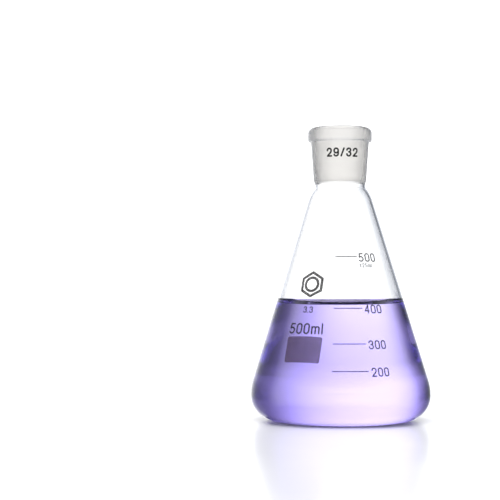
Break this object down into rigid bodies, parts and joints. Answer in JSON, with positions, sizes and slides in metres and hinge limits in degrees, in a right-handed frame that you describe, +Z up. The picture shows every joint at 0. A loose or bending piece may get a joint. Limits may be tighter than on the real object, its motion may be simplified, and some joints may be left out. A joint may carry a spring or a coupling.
{
  "type": "erlenmeyer flask",
  "caption": "Conical laboratory flask of clear glass with a tapered ground socket, printed volume scale and marking field, part filled with a violet solution.",
  "frame": {"origin": "centre of the ring that the flask stands on, at table level", "axes": "+Z up along the flask's axis; -Y is the printed front; +X is to the right seen from the front"},
  "size_m": [0.105, 0.105, 0.171],
  "materials": {
    "body_glass": "polished",
    "socket_glass": "satin",
    "solution": "gloss",
    "scale_enamel": "satin",
    "field_enamel": "satin",
    "joint_enamel": "satin"
  },
  "bodies": {
    "root": {"flask_body": "body_glass", "ground_socket": "socket_glass", "solution": "solution", "marking_spot": "field_enamel", "capacity_mark": "scale_enamel", "glass_class_mark": "scale_enamel", "emblem": "scale_enamel", "tolerance_mark": "scale_enamel", "joint_size_mark": "joint_enamel", "graduation_line_200": "scale_enamel", "graduation_number_200": "scale_enamel", "graduation_line_300": "scale_enamel", "graduation_number_300": "scale_enamel", "graduation_line_400": "scale_enamel", "graduation_number_400": "scale_enamel", "graduation_line_500": "scale_enamel", "graduation_number_500": "scale_enamel"}
  },
  "joints": []
}
